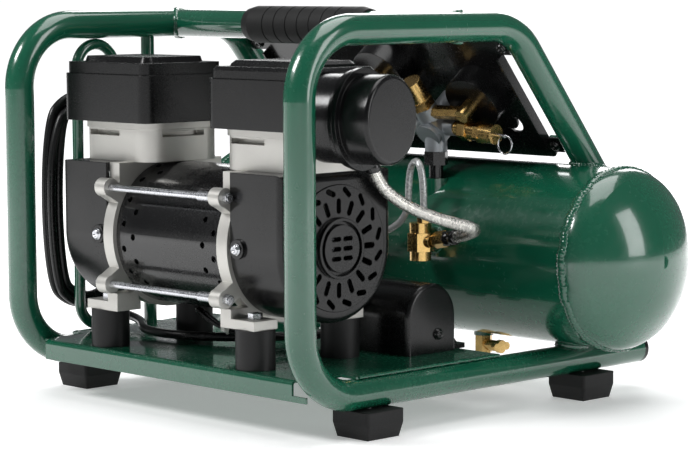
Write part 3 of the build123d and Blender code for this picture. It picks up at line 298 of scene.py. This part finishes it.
def even(line, step):
    """The line cut again at even steps, with its tangents and a side direction that doesn't twist."""
    lengths = [0.0]
    for a, b in zip(line, line[1:]):
        lengths.append(lengths[-1] + (b - a).length)
    count = max(3, round(lengths[-1] / step))
    places, index = [], 0
    for k in range(count + 1):
        goal = lengths[-1] * k / count
        while index < len(line) - 2 and lengths[index + 1] < goal:
            index += 1
        share = (goal - lengths[index]) / max(1e-9, lengths[index + 1] - lengths[index])
        places.append(line[index].lerp(line[index + 1], min(1.0, share)))
    frames, side = [], None
    for k, place in enumerate(places):
        ahead = (places[min(k + 1, count)] - places[max(k - 1, 0)]).normalized()
        if side is None:
            side = ahead.orthogonal().normalized()
        side = (side - ahead * side.dot(ahead)).normalized()
        frames.append((place, ahead, side, ahead.cross(side)))
    return frames


def swept(name, line, radius, step=0.002, sides=12, caps=True):
    """A round mesh tube along a line; radius may be a function of the share of the length."""
    frames = even(line, step)
    verts, faces = [], []
    for k, (place, _, side, up) in enumerate(frames):
        r = radius(k / (len(frames) - 1)) if callable(radius) else radius
        for j in range(sides):
            angle = 2 * math.pi * j / sides
            verts.append(place + side * (r * math.cos(angle)) + up * (r * math.sin(angle)))
    for k in range(len(frames) - 1):
        for j in range(sides):
            a, b = k * sides + j, k * sides + (j + 1) % sides
            faces.append((a, b, b + sides, a + sides))
    if caps:
        faces.append(tuple(reversed(range(sides))))
        faces.append(tuple(range(len(verts) - sides, len(verts))))
    return from_lists(name, verts, faces)


def lathe(name, profile, origin, axis, sides=40):
    """A closed turned piece: profile is (radius, height) from one end of the axis to the other."""
    turn = Vector(axis).to_track_quat("Z", "Y").to_matrix()
    verts, faces = [], []
    for r, h in profile:
        for j in range(sides):
            angle = 2 * math.pi * j / sides
            verts.append(Vector(origin) + turn @ Vector((r * math.cos(angle), r * math.sin(angle), h)))
    rows = len(profile)
    for k in range(rows - 1):
        for j in range(sides):
            a, b = k * sides + j, k * sides + (j + 1) % sides
            faces.append((a, b, b + sides, a + sides))
    faces.append(tuple(reversed(range(sides))))
    faces.append(tuple(range((rows - 1) * sides, rows * sides)))
    return from_lists(name, verts, faces)


def block(name, low, high, bevel, turn=None, pivot=None, segments=3):
    """A box with rounded edges, optionally turned about a pivot."""
    shape = bmesh.new()
    bmesh.ops.create_cube(shape, size=1)
    size = Vector(high) - Vector(low)
    for vert in shape.verts:
        vert.co = Vector(low) + Vector((s * (c + 0.5) for s, c in zip(size, vert.co)))
    bmesh.ops.bevel(shape, geom=shape.edges, offset=bevel, segments=segments, affect="EDGES", profile=0.6)
    if turn:
        bmesh.ops.rotate(shape, verts=shape.verts, cent=pivot, matrix=turn)
    mesh = bpy.data.meshes.new(name)
    shape.to_mesh(mesh)
    shape.free()
    return mesh


def joined(name, meshes):
    shape = bmesh.new()
    for mesh in meshes:
        shape.from_mesh(mesh)
    made = bpy.data.meshes.new(name)
    shape.to_mesh(made)
    shape.free()
    for mesh in meshes:
        bpy.data.meshes.remove(mesh)
    return made


def weld_bead(name, path, width, height, out, closed=True, ripple=0.0022, wander=0.0006):
    """A hand-laid weld: a rippled, slightly wandering half-round bead along a path.

    out gives the direction away from the joint at each path point."""
    count = len(path)
    verts, faces, sides = [], [], 8
    travelled = 0.0
    for k, place in enumerate(path):
        after = path[(k + 1) % count] if closed or k < count - 1 else path[k]
        before = path[k - 1] if closed or k > 0 else path[k]
        ahead = (after - before).normalized()
        travelled += (place - path[k - 1]).length if k else 0.0
        up = out[k].normalized()
        side = ahead.cross(up).normalized()
        seed = Vector((travelled * 90, len(name), 0.0))
        sway = noise.noise(seed) * wander
        swell = 1 + 0.35 * noise.noise(seed * 2.3) + 0.16 * math.sin(travelled / ripple * 2 * math.pi)
        for j in range(sides):
            angle = 2 * math.pi * j / sides
            verts.append(
                place
                + side * (sway + width * 0.5 * swell * math.cos(angle))
                + up * (height * swell * math.sin(angle))
            )
    rows = count if closed else count - 1
    for k in range(rows):
        for j in range(sides):
            a, b = k * sides + j, k * sides + (j + 1) % sides
            c, d = (b + sides) % len(verts), (a + sides) % len(verts)
            faces.append((a, b, c, d))
    return from_lists(name, verts, faces)


# ---- places shared with the CAD -----------------------------------------------------
TUBE_R = 0.0127
TANK_R = 0.0785
TANK_SEAM = 0.231
TANK = Vector((0, 0.123, 0.1269))
CAGE_X, CAGE_TOP, RAIL_Z = 0.18, 0.327, 0.0355
HANDLE_Y = -0.024
PLATE_TOP = 0.0502
SLOPE = Vector((0, 0.632, -0.775)).normalized()
PANEL_OUT = Vector((0, 0.775, 0.632)).normalized()
PANEL_TOP = Vector((0, 0.041, 0.327))


def panel(x, s, h):
    """A point x across, s down and h proud of the control panel, in millimetres."""
    return PANEL_TOP + Vector((x * MM, 0, 0)) + SLOPE * (s * MM) + PANEL_OUT * (h * MM)


# ---- cords --------------------------------------------------------------------------
CORD_R = 0.004
COIL = Vector((-0.1975, -0.121, 0.168))
COIL_HALF_Y, COIL_HALF_Z = 0.038, 0.092
LEAD_POINTS = [
    (0.074, -0.022, 0.0642),
    (0.044, -0.026, 0.060),
    (0.010, -0.076, 0.057),
    (-0.050, -0.120, 0.056),
    (-0.110, -0.127, 0.056),
    (-0.152, -0.092, 0.058),
    (-0.1935, -0.087, 0.062),
]
TAIL_POINTS = [
    (-0.1975, -0.060, 0.172),
    (-0.1975, -0.058, 0.142),
]


def coil_points():
    """Four turns of an upright oval in a two by two bundle, each change of lane at its own place."""
    lanes = [(-1, -1), (1, -1), (1, 1), (-1, 1)]
    shift_at = [0.9, 1.65, 2.4]
    turns, per_turn = 3.55, 20
    points = []
    for k in range(round(turns * per_turn) + 1):
        travelled = k / per_turn
        lane = sum(1 for s in shift_at if travelled > s)
        start = shift_at[lane] - 0.1 if lane < 3 else 9
        share = min(1.0, max(0.0, (travelled - start) / 0.1))
        here, there = lanes[lane], lanes[min(lane + 1, 3)]
        out = here[0] + (there[0] - here[0]) * share
        over = here[1] + (there[1] - here[1]) * share
        angle = 2 * math.pi * (travelled - 0.25)
        straight = COIL_HALF_Z - COIL_HALF_Y
        reach = COIL_HALF_Y + out * 0.0041
        y = -reach * math.cos(angle)
        z = reach * math.sin(angle)
        z += straight * max(-1.0, min(1.0, 1.9 * math.sin(angle)))
        points.append((COIL.x + over * 0.0042, COIL.y + y, COIL.z + z))
    return points


def make_power_cord():
    data = bpy.data.curves.new("power_cord", "CURVE")
    data.dimensions = "3D"
    points = LEAD_POINTS + coil_points() + TAIL_POINTS
    spline = data.splines.new("NURBS")
    spline.points.add(len(points) - 1)
    for point, place in zip(spline.points, points):
        point.co = (*place, 1)
    spline.order_u = 3
    spline.use_endpoint_u = True
    spline.resolution_u = 8
    data.bevel_depth = CORD_R
    data.bevel_resolution = 5
    data.use_fill_caps = True
    data.materials.append(LOOKS["cord_pvc"])
    cord = bpy.data.objects.new("power_cord", data)
    bpy.context.scene.collection.objects.link(cord)
    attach(cord, BODY)
    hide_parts("power_cord_lead", "power_cord_coil", "power_cord_tail")
    boot = make_strain_relief()
    line = curve_line(points, detail=8)


def make_strain_relief():
    start = Vector(LEAD_POINTS[0])
    along = (Vector(LEAD_POINTS[1]) - start).normalized()
    profile = [(0.0045, -0.004), (0.0072, -0.004), (0.0072, -0.001)]
    for k in range(7):
        h = 0.001 + k * 0.0034
        r = 0.0066 - k * 0.00028
        profile += [(r, h), (r, h + 0.0022), (r - 0.0009, h + 0.0024), (r - 0.0009, h + 0.0032)]
    profile.append((0.0044, 0.0265))
    mesh = lathe("cord_boot", profile, start, along, sides=28)
    return add_piece("cord_boot", mesh, LOOKS["foot_rubber"])


# ---- welds --------------------------------------------------------------------------
def ring(centre, radius, steps=220):
    """A circle round X, with the outward directions at its points."""
    places, outs = [], []
    for k in range(steps):
        angle = 2 * math.pi * k / steps
        out = Vector((0, math.cos(angle), math.sin(angle)))
        places.append(Vector(centre) + out * radius)
        outs.append(out)
    return places, outs


def make_welds():
    for side in (1, -1):
        tag = "near" if side > 0 else "far"
        seam, outs = ring((side * TANK_SEAM, TANK.y, TANK.z), TANK_R - 0.0004, 420)
        bead = weld_bead(f"weld_dome_{tag}", seam, 0.0088, 0.0022, outs, ripple=0.0034, wander=0.0019)
        add_piece(f"weld_dome_{tag}", bead, LOOKS["green_paint"])

        # diagonal tube to tank: the tube's outline followed down the slope until it meets the tank
        across = Vector((1, 0, 0))
        over = SLOPE.cross(across).normalized()
        places, outs = [], []
        for k in range(120):
            angle = 2 * math.pi * k / 120
            out = across * math.cos(angle) + over * math.sin(angle)
            start = Vector((side * CAGE_X, PANEL_TOP.y, PANEL_TOP.z)) + out * TUBE_R
            gap = start - TANK
            gap.x = 0
            b = gap.dot(SLOPE)
            reach = -b - math.sqrt(max(0.0, b * b - gap.length_squared + TANK_R * TANK_R))
            place = start + SLOPE * reach
            normal = (place - Vector((place.x, TANK.y, TANK.z))).normalized()
            places.append(place)
            outs.append(normal + out)
        bead = weld_bead(f"weld_leg_{tag}", places, 0.0062, 0.0026, outs, ripple=0.0028)
        add_piece(f"weld_leg_{tag}", bead, LOOKS["green_paint"])

        # handle tube to side tube, both the same size
        places, outs = [], []
        for k in range(96):
            angle = 2 * math.pi * k / 96
            out = Vector((0, math.cos(angle), math.sin(angle)))
            x = side * (CAGE_X - TUBE_R * abs(math.cos(angle)))
            places.append(Vector((x, HANDLE_Y, CAGE_TOP)) + out * TUBE_R)
            outs.append(out + Vector((-side, 0, 0)) * (abs(out.y) * 0.9 + 0.05))
        bead = weld_bead(f"weld_handle_{tag}", places, 0.0052, 0.0017, outs, ripple=0.0026)
        add_piece(f"weld_handle_{tag}", bead, LOOKS["green_paint"])

        # tank saddle on the rail: a fillet round the small patch where they touch
        places, outs = [], []
        for k in range(72):
            angle = 2 * math.pi * k / 72
            x = 0.0088 * math.cos(angle)
            y = 0.019 * math.sin(angle)
            low = RAIL_Z + math.sqrt(TUBE_R**2 - x * x)
            high = TANK.z - math.sqrt(TANK_R**2 - y * y)
            places.append(Vector((side * CAGE_X + x, TANK.y + y, (low + high) / 2)))
            outs.append(Vector((math.cos(angle), math.sin(angle), 0.0)))
        bead = weld_bead(f"weld_saddle_{tag}", places, 0.0056, 0.0032, outs, ripple=0.0026)
        add_piece(f"weld_saddle_{tag}", bead, LOOKS["green_paint"])

        # base plate to rail, along the outer edge
        edge = side * 0.1838
        count = 120
        places = [Vector((edge, -0.146 + 0.166 * k / count, PLATE_TOP - 0.0006)) for k in range(count + 1)]
        outs = [Vector((side * 0.5, 0, 1))] * (count + 1)
        bead = weld_bead(f"weld_plate_{tag}", places, 0.003, 0.0012, outs, closed=False, ripple=0.0026)
        add_piece(f"weld_plate_{tag}", bead, LOOKS["green_paint"])

    for name, place, radius in (
        ("weld_bung_check", (0.084, TANK.y - TANK_R - 0.001, 0.139), 0.011),
    ):
        places, outs = [], []
        for k in range(60):
            angle = 2 * math.pi * k / 60
            out = Vector((math.cos(angle), 0, math.sin(angle)))
            spot = Vector(place) + out * radius
            drop = TANK_R - math.sqrt(TANK_R**2 - (spot.z - TANK.z) ** 2)
            spot.y = TANK.y - TANK_R + drop - 0.0006
            places.append(spot)
            outs.append(out + Vector((0, -1, 0)))
        bead = weld_bead(name, places, 0.004, 0.0017, outs, ripple=0.0022)
        add_piece(name, bead, LOOKS["green_paint"])


# ---- braided hose, signal tube and wires --------------------------------------------
HOSE_POINTS = [
    (0.151, -0.100, 0.222),
    (0.151, -0.093, 0.201),
    (0.152, -0.064, 0.181),
    (0.159, -0.026, 0.166),
    (0.168, 0.027, 0.153),
    (0.114, 0.030, 0.143),
]
HOSE_R = 0.0052
TUBE_POINTS = [
    (0.088, 0.028, 0.164),
    (0.088, 0.028, 0.208),
    (0.064, 0.034, 0.208),
    (0.064, 0.033, 0.142),
    (-0.038, 0.010, 0.138),
    (-0.060, 0.024, 0.176),
    (-0.060, 0.050, 0.212),
    (-0.060, 0.0645, 0.2236),
]


def braid(line, radius, bands=14, pitch=0.026, width=0.00135, side_steps=4):
    """Flat wire bands wound both ways round a hose, each passing over and under the other way's."""
    frames = even(line, 0.0009)
    run = 0.0009
    verts, faces = [], []
    for hand in (1, -1):
        for band in range(bands):
            first = len(verts)
            for k, (place, _, side, up) in enumerate(frames):
                along = k * run
                angle = hand * 2 * math.pi * along / pitch + 2 * math.pi * band / bands
                crossing = 2 * math.pi * (2 * bands * along / pitch) / 2 + math.pi * band
                lift = 0.00018 * hand * math.cos(crossing)
                for j in range(side_steps):
                    share = j / (side_steps - 1) - 0.5
                    turn = angle + share * width / radius
                    r = radius + lift + 0.00022 * (1 - (2 * share) ** 2)
                    verts.append(place + side * (r * math.cos(turn)) + up * (r * math.sin(turn)))
            for k in range(len(frames) - 1):
                for j in range(side_steps - 1):
                    a = first + k * side_steps + j
                    quad = (a, a + 1, a + 1 + side_steps, a + side_steps)
                    faces.append(quad)
    return from_lists("hose_braid", verts, faces)


def make_hose():
    line = curve_line(HOSE_POINTS, detail=16)
    core = add_piece("hose_core", swept("hose_core", line, HOSE_R - 0.0006, sides=16), BRAID_CORE)
    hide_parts("air_hose")
    add_piece("hose_braid", braid(line, HOSE_R - 0.0003), LOOKS["hose_braid"])
    for tag, place, towards in (
        ("head", HOSE_POINTS[0], HOSE_POINTS[1]),
        ("tank", HOSE_POINTS[-1], HOSE_POINTS[-2]),
    ):
        along = (Vector(towards) - Vector(place)).normalized()
        profile = [(0.0052, -0.002), (0.0066, -0.002), (0.0068, 0.0), (0.0068, 0.004), (0.0062, 0.0048),
                   (0.0062, 0.006), (0.0068, 0.0068), (0.0068, 0.011), (0.0063, 0.0122), (0.0054, 0.0124)]
        mesh = lathe(f"hose_ferrule_{tag}", profile, place, along, sides=32)
        add_piece(f"hose_ferrule_{tag}", mesh, LOOKS["black_paint"])


def make_signal_tube():
    line = curve_line(TUBE_POINTS, detail=14)
    piece = add_piece("signal_tube", swept("signal_tube", line, 0.0031, sides=16), LOOKS["tube_plastic"])
    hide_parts("unloader_tube")


HARNESS_POINTS = [
    (-0.034, -0.128, 0.0824),
    (-0.002, -0.132, 0.070),
    (0.024, -0.096, 0.060),
    (0.052, -0.048, 0.060),
    (0.074, -0.038, 0.0642),
]


def make_harness():
    line = curve_line(HARNESS_POINTS, detail=14)
    frames = even(line, 0.003)
    meshes = []
    for k in range(4):
        strand = []
        for n, (place, _, side, up) in enumerate(frames):
            angle = math.pi / 2 * k + n * 0.11
            loose = 0.0019 + 0.0006 * math.sin(n * 0.4 + k * 2.1)
            strand.append(place + side * (loose * math.cos(angle)) + up * (loose * math.sin(angle)))
        meshes.append(swept(f"wire_{k}", strand, 0.0014, sides=10))
    piece = add_piece("motor_wires", joined("motor_wires", meshes), LOOKS["cord_pvc"])
    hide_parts("wire_harness")
    place, ahead, side, up = frames[len(frames) // 4]
    tie = [place + side * (0.0042 * math.cos(a)) + up * (0.0042 * math.sin(a))
           for a in [2 * math.pi * j / 24 for j in range(25)]]
    head = block("tie_head", place + Vector((-0.0025, -0.0075, -0.002)), place + Vector((0.0025, -0.0035, 0.003)),
                 0.0006)
    tail = swept("tie_tail", [place + Vector((0, -0.005, 0.002)), place + Vector((0.001, -0.007, 0.010)),
                              place + Vector((0.004, -0.006, 0.018))], 0.0011, sides=8)
    strap = swept("tie_strap", tie, 0.0012, step=0.001, sides=8)
    add_piece("wire_tie", joined("wire_tie", [strap, head, tail]), TIE_WHITE)
    place = frames[len(frames) * 2 // 5][0]
    shell = block("wire_connector", place + Vector((-0.009, -0.009, -0.004)), place + Vector((0.009, 0.009, 0.010)),
                  0.0012)
    add_piece("wire_connector", shell, TIE_WHITE)


# ---- screws -------------------------------------------------------------------------
CASE_SCREW_X, CASE_SCREW_Y, CASE_SCREW_Z = 0.090, -0.1925, 0.149


def make_screws():
    """Pan heads with a driver socket: bright ones on the crankcases, black ones elsewhere."""
    head = [(0.0004, 0), (0.005, 0), (0.005, 0.001), (0.0044, 0.0011), (0.0043, 0.0021), (0.0034, 0.0032),
            (0.0019, 0.0036), (0.0016, 0.0018), (0.0004, 0.0018)]
    bright, dark, washers = [], [], []
    for side in (1, -1):
        place = Vector((side * CASE_SCREW_X, CASE_SCREW_Y, CASE_SCREW_Z))
        bright.append(lathe(f"screw_case_{side}", head, place, Vector((0, -1, 0)), sides=32))
        ringed = [(0.0048, -0.0012), (0.0076, -0.0012), (0.0076, -0.0002), (0.0048, -0.0002)]
        washers.append(lathe(f"washer_{side}", ringed, place, Vector((0, -1, 0)), sides=32))
        for s in (24, 136):
            dark.append(lathe(f"screw_panel_{side}_{s}", head, panel(side * 154, s, -1), -PANEL_OUT, sides=32))
    for n, (place, axis) in enumerate((
        ((0.140, -0.0085, 0.0662), (1, 0, 0)),
        ((0.124, 0.024, 0.0542), (0, 0, 1)),
        ((0.084, 0.024, 0.0542), (0, 0, 1)),
    )):
        dark.append(lathe(f"screw_cover_{n}", head, Vector(place), Vector(axis), sides=32))
    heads = add_piece("case_screws", joined("case_screws", bright), LOOKS["zinc_steel"])
    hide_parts("pan_head_screws")
    add_piece("black_screws", joined("black_screws", dark), LOOKS["black_paint"])
    add_piece("case_washers", joined("case_washers", washers), LOOKS["isolator_rubber"])


# ---- gauge dials --------------------------------------------------------------------
def make_dial(tag, x, s, top):
    centre = panel(x, s, 1.4)
    basis = Matrix((Vector((1, 0, 0)), SLOPE, PANEL_OUT)).transposed()
    card = lathe(f"dial_{tag}", [(0.0015, 0), (0.0252, 0), (0.0252, 0.0006), (0.0015, 0.0006)], centre, PANEL_OUT)
    add_piece(f"dial_{tag}", card, DIAL_WHITE, smooth=False)
    shape = bmesh.new()
    marks = 50
    first_mark, sweep = 135, 270
    for k in range(marks + 1):
        angle = math.radians(first_mark + sweep * k / marks)
        long = k % 10 == 0
        inner = 0.0185 if long else (0.020 if k % 5 == 0 else 0.0212)
        half = 0.0004 if long else 0.00018
        out = Vector((math.cos(angle), math.sin(angle), 0))
        side = Vector((-out.y, out.x, 0))
        corners = [out * inner - side * half, out * 0.0232 - side * half, out * 0.0232 + side * half,
                   out * inner + side * half]
        shape.faces.new([shape.verts.new(centre + basis @ (c + Vector((0, 0, 0.0008)))) for c in corners])
    mesh = bpy.data.meshes.new(f"dial_marks_{tag}")
    shape.to_mesh(mesh)
    shape.free()
    add_piece(f"dial_marks_{tag}", mesh, DIAL_BLACK, smooth=False)
    for k in range(6):
        angle = math.radians(first_mark + sweep * k / 5)
        data = bpy.data.curves.new(f"dial_number_{tag}_{k}", "FONT")
        data.body = str(top * k // 5)
        data.size = 0.0046
        data.align_x, data.align_y = "CENTER", "CENTER"
        data.extrude = 0.00005
        data.materials.append(DIAL_BLACK)
        number = bpy.data.objects.new(f"dial_number_{tag}_{k}", data)
        bpy.context.scene.collection.objects.link(number)
        spot = basis @ Vector((math.cos(angle) * 0.0155, math.sin(angle) * 0.0155, 0.0009))
        facing = Matrix((Vector((-1, 0, 0)), -SLOPE, PANEL_OUT)).transposed().to_4x4()
        number.matrix_world = Matrix.Translation(centre + spot) @ facing
        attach(number, BODY)


# ---- finish -------------------------------------------------------------------------
make_camera()
make_studio()
dress_nodes()
make_power_cord()
make_welds()
make_hose()
make_signal_tube()
make_harness()
make_screws()
make_dial("tank", 106, 72, 200)
make_dial("outlet", 10, 42, 150)
